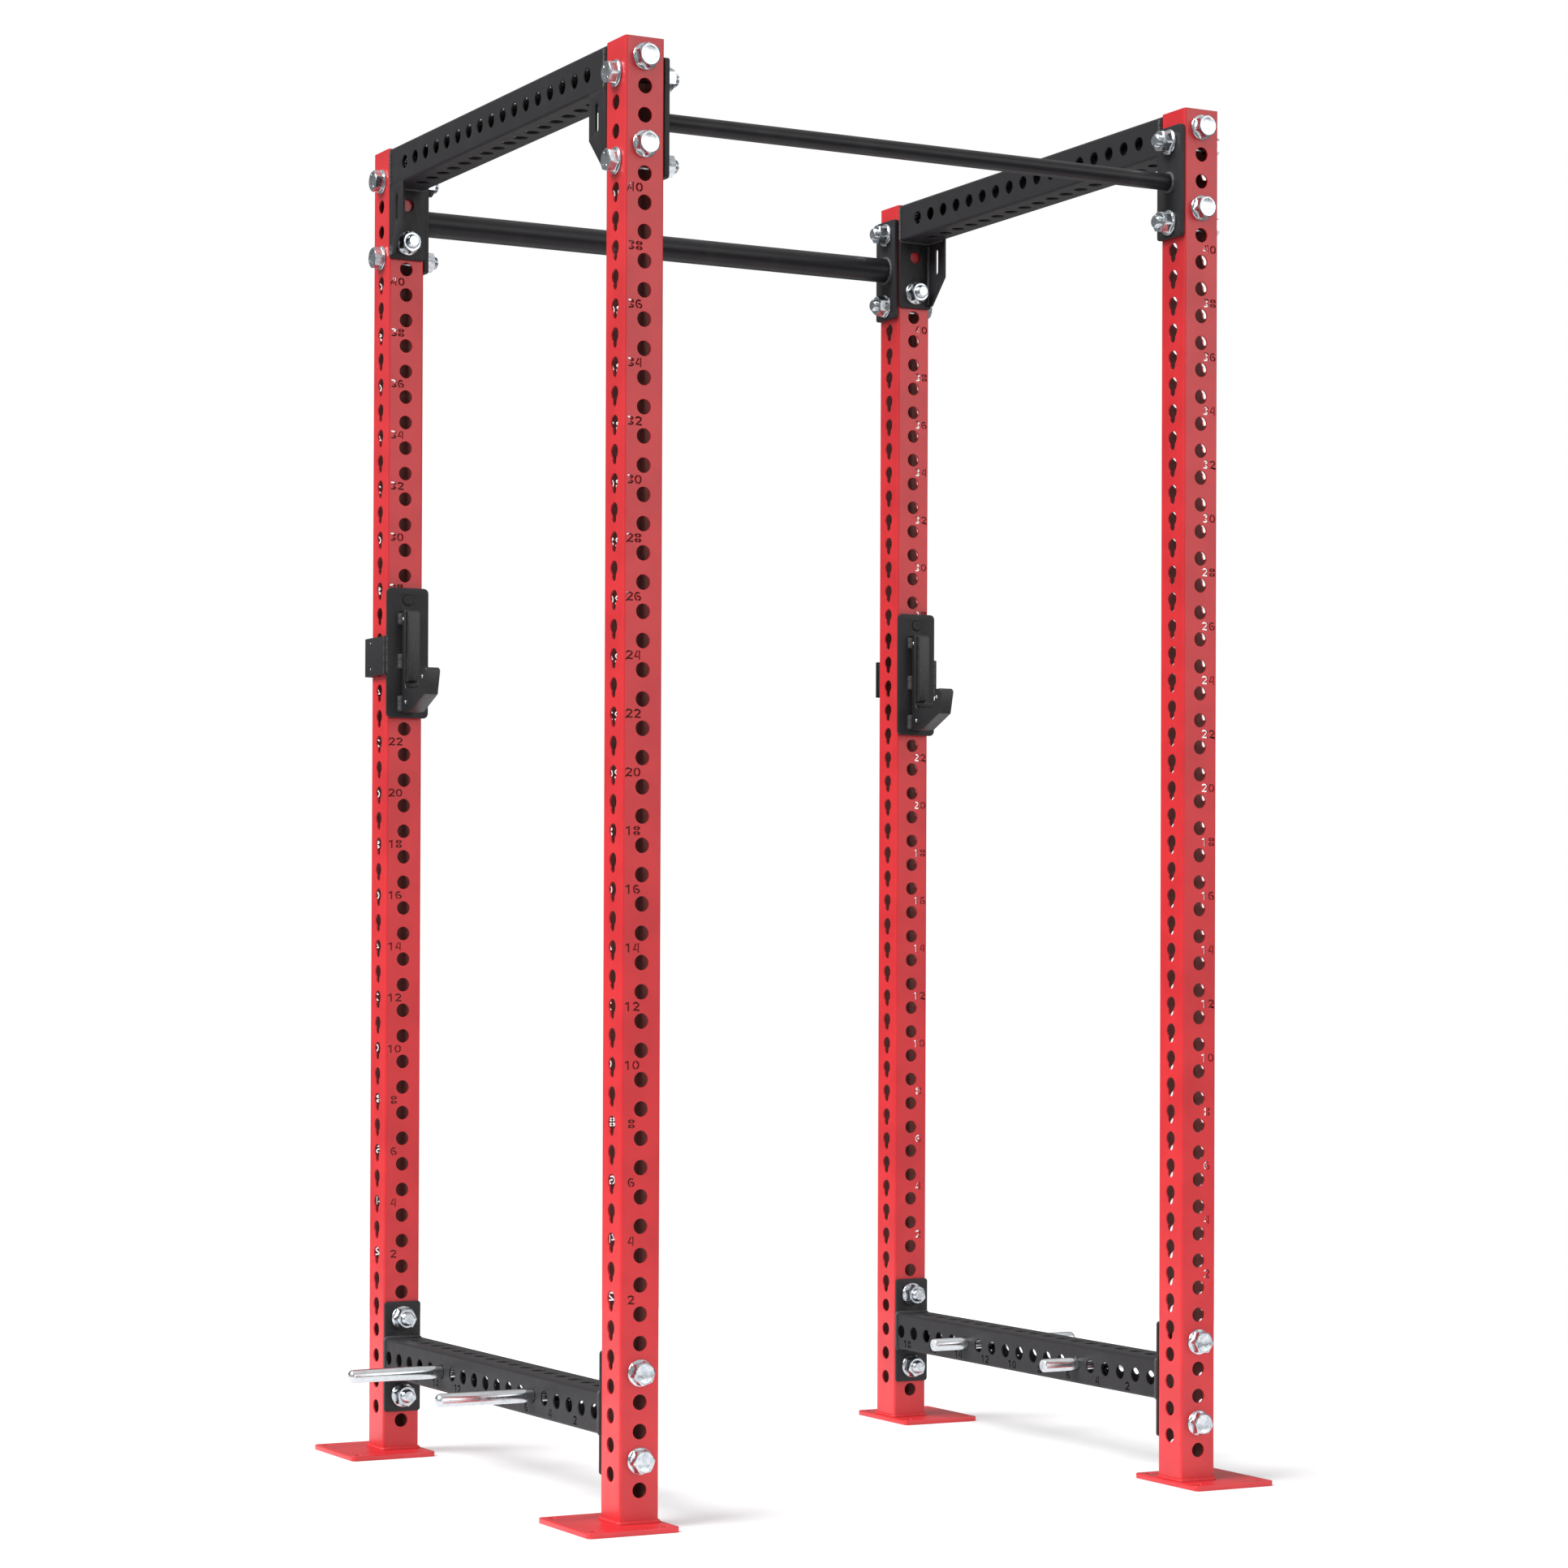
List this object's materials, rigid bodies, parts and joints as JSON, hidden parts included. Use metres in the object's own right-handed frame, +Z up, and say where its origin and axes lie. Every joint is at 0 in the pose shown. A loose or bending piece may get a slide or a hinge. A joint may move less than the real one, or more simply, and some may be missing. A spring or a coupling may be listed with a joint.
{
  "type": "power cage",
  "caption": "Power cage of drilled square uprights on foot plates, with crossmembers, pull-up bars, turning bar hooks and sliding storage pegs.",
  "frame": {"origin": "on the floor, midway between the four uprights", "axes": "+Z up, -Y the front with the thinner pull-up bar, +X to the right when looking along +Y"},
  "size_m": [1.6348, 1.2446, 2.5905],
  "materials": {
    "red_powder_coat": "semi-gloss powder coat",
    "black_powder_coat": "satin powder coat",
    "bright_zinc": "bright zinc plate",
    "black_plastic": "moulded, satin"
  },
  "bodies": {
    "frame": {"foot_plate_front_left": "red_powder_coat", "upright_front_left": "red_powder_coat", "bolt_front_left_upper_crossmember_top": "bright_zinc", "bolt_front_left_upper_crossmember_bottom": "bright_zinc", "bolt_front_left_lower_crossmember_top": "bright_zinc", "bolt_front_left_lower_crossmember_bottom": "bright_zinc", "bolt_front_left_pull_up_bar_top": "bright_zinc", "bolt_front_left_pull_up_bar_bottom": "bright_zinc", "foot_plate_front_right": "red_powder_coat", "upright_front_right": "red_powder_coat", "bolt_front_right_upper_crossmember_top": "bright_zinc", "bolt_front_right_upper_crossmember_bottom": "bright_zinc", "bolt_front_right_lower_crossmember_top": "bright_zinc", "bolt_front_right_lower_crossmember_bottom": "bright_zinc", "bolt_front_right_pull_up_bar_top": "bright_zinc", "bolt_front_right_pull_up_bar_bottom": "bright_zinc", "foot_plate_rear_left": "red_powder_coat", "upright_rear_left": "red_powder_coat", "bolt_rear_left_upper_crossmember_top": "bright_zinc", "bolt_rear_left_upper_crossmember_bottom": "bright_zinc", "bolt_rear_left_lower_crossmember_top": "bright_zinc", "bolt_rear_left_lower_crossmember_bottom": "bright_zinc", "bolt_rear_left_pull_up_bar_top": "bright_zinc", "bolt_rear_left_pull_up_bar_bottom": "bright_zinc", "foot_plate_rear_right": "red_powder_coat", "upright_rear_right": "red_powder_coat", "bolt_rear_right_upper_crossmember_top": "bright_zinc", "bolt_rear_right_upper_crossmember_bottom": "bright_zinc", "bolt_rear_right_lower_crossmember_top": "bright_zinc", "bolt_rear_right_lower_crossmember_bottom": "bright_zinc", "bolt_rear_right_pull_up_bar_top": "bright_zinc", "bolt_rear_right_pull_up_bar_bottom": "bright_zinc", "lower_crossmember_left": "black_powder_coat", "upper_crossmember_left": "black_powder_coat", "lower_crossmember_right": "black_powder_coat", "upper_crossmember_right": "black_powder_coat", "pull_up_bar_front": "black_powder_coat", "pull_up_bar_rear": "black_powder_coat"},
    "bar_hook_left": {"bar_hook_left_bracket": "black_powder_coat", "bar_hook_left_pin": "black_powder_coat", "bar_hook_left_outer_cover": "black_plastic", "bar_hook_left_inner_cover": "black_plastic", "bar_hook_left_back_pad": "black_plastic", "bar_hook_left_seat_pad": "black_plastic", "bar_hook_left_face_liner": "black_plastic", "bar_hook_left_side_liner": "black_plastic", "bar_hook_left_back_liner": "black_plastic"},
    "bar_hook_right": {"bar_hook_right_bracket": "black_powder_coat", "bar_hook_right_pin": "black_powder_coat", "bar_hook_right_outer_cover": "black_plastic", "bar_hook_right_inner_cover": "black_plastic", "bar_hook_right_back_pad": "black_plastic", "bar_hook_right_seat_pad": "black_plastic", "bar_hook_right_face_liner": "black_plastic", "bar_hook_right_side_liner": "black_plastic", "bar_hook_right_back_liner": "black_plastic"},
    "peg_front_left": {"peg_front_left": "bright_zinc"},
    "peg_front_right": {"peg_front_right": "bright_zinc"},
    "peg_rear_left": {"peg_rear_left": "bright_zinc"},
    "peg_rear_right": {"peg_rear_right": "bright_zinc"}
  },
  "joints": [
    {"name": "bar_hook_left_turn", "type": "hinge", "parent": "frame", "child": "bar_hook_left", "pos_m": [-0.58896, 0.4826, 1.69257], "axis": [0, 1, 0], "range_deg": [0, 115]},
    {"name": "bar_hook_right_turn", "type": "hinge", "parent": "frame", "child": "bar_hook_right", "pos_m": [0.58896, 0.4826, 1.69257], "axis": [0, -1, 0], "range_deg": [0, 115]},
    {"name": "peg_front_left_slide", "type": "slide", "parent": "frame", "child": "peg_front_left", "axis": [-1, 0, 0], "range_m": [-0.15, 0.14]},
    {"name": "peg_front_right_slide", "type": "slide", "parent": "frame", "child": "peg_front_right", "axis": [1, 0, 0], "range_m": [-0.15, 0.14]},
    {"name": "peg_rear_left_slide", "type": "slide", "parent": "frame", "child": "peg_rear_left", "axis": [-1, 0, 0], "range_m": [-0.15, 0.14]},
    {"name": "peg_rear_right_slide", "type": "slide", "parent": "frame", "child": "peg_rear_right", "axis": [1, 0, 0], "range_m": [-0.15, 0.14]}
  ]
}
